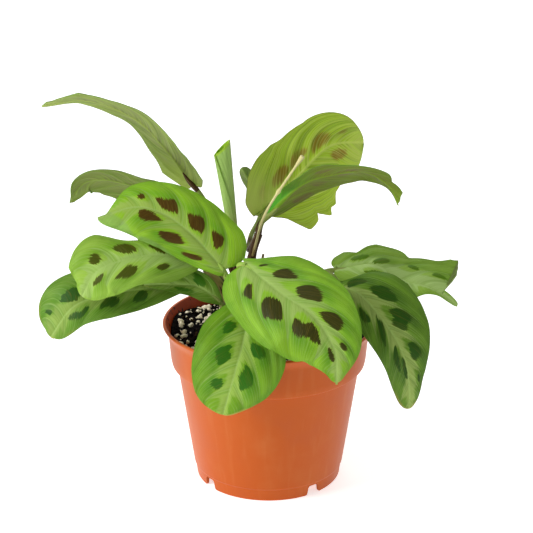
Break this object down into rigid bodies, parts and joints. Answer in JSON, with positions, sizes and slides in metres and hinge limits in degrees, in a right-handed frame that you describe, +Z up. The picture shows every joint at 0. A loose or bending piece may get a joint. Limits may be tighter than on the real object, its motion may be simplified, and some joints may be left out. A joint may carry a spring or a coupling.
{
  "type": "potted prayer plant",
  "caption": "Young maranta prayer plant with broad blotched leaves on slim arching stems, growing in a tapered round nursery pot of perlite potting mix.",
  "frame": {"origin": "middle of the bounding box of pot and foliage, at the level of the pot's foot", "axes": "+Z up along the pot's axis, +X to the right and +Y away from a viewer who faces the large front leaf"},
  "size_m": [0.2116, 0.1226, 0.2042],
  "materials": {
    "pot_plastic": "thin injection-moulded terracotta-coloured plastic, satin outside",
    "potting_mix": "dark crumbly peat and bark with cream perlite grains",
    "stem_skin": "brown and green leaf stalks with dry sheaths",
    "leaf_light": "thin yellow-green leaf blade with soft sheen and brown to dark green blotches",
    "leaf_deep": "thin deep green leaf blade with soft sheen, dark blotches and a greyer underside",
    "dry_stalk": "dry straw-coloured stalk"
  },
  "bodies": {
    "root": {"pot": "pot_plastic", "soil": "potting_mix", "shoot_upright": "stem_skin", "shoot_back": "stem_skin", "shoot_left": "stem_skin", "shoot_front": "stem_skin", "shoot_right": "stem_skin", "leaf_front": "leaf_light", "leaf_over_rim": "leaf_light", "leaf_left_upper": "leaf_light", "leaf_left_middle": "leaf_light", "leaf_left_lower": "leaf_deep", "leaf_left_small": "leaf_light", "leaf_back_long": "leaf_deep", "leaf_back_arched": "leaf_deep", "leaf_right_tall": "leaf_light", "leaf_right_arched": "leaf_deep", "leaf_back_young": "leaf_light", "leaf_right_drooping": "leaf_deep", "leaf_right_outer": "leaf_deep", "leaf_rolled": "leaf_light", "flower_stalk": "dry_stalk"}
  },
  "joints": []
}
